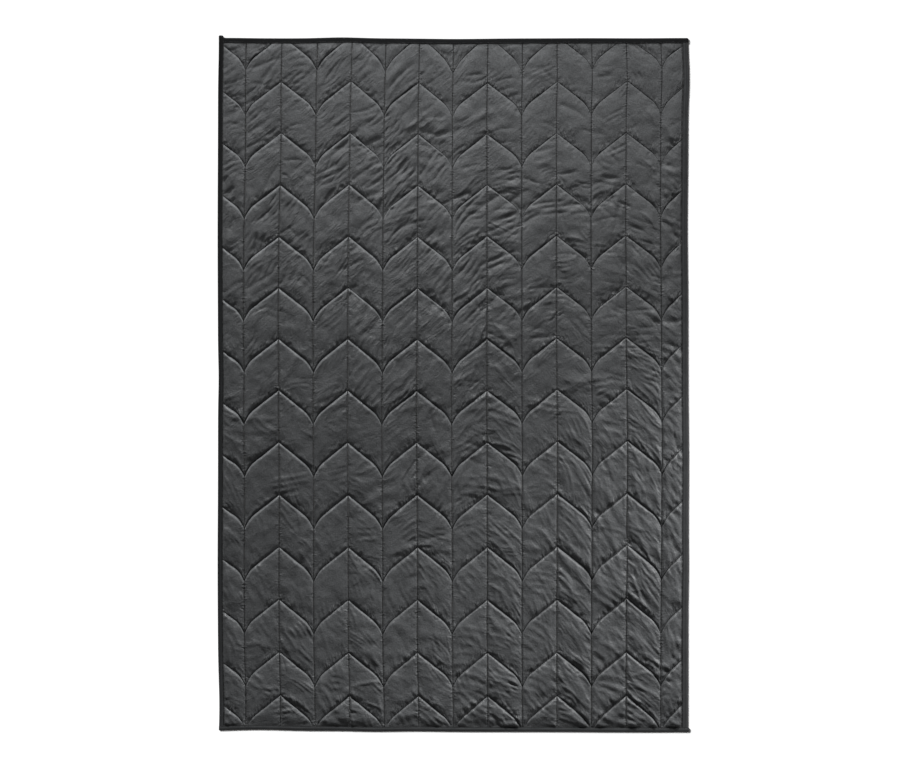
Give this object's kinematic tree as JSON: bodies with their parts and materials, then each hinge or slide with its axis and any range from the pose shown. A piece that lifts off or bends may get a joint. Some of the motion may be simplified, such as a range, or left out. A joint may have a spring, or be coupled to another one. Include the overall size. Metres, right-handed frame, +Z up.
{
  "type": "weighted blanket",
  "caption": "Flat quilted weighted blanket: one filled body sewn in columns of leaf-shaped pockets, with a narrow folded binding round all four edges.",
  "frame": {"origin": "middle of the outline, on the ground that the blanket lies on", "axes": "+X to the blanket's right side, +Y to its head end, +Z up out of its face"},
  "size_m": [1.3602, 2.0088, 0.0096],
  "materials": {
    "quilt_cloth": "soft short pile, charcoal grey, quilted, with fine creases",
    "binding_tape": "folded tape, dark charcoal, sewn near its inner edge"
  },
  "bodies": {
    "root": {"quilt": "quilt_cloth", "binding_head": "binding_tape", "binding_foot": "binding_tape", "binding_left": "binding_tape", "binding_right": "binding_tape"}
  },
  "joints": []
}
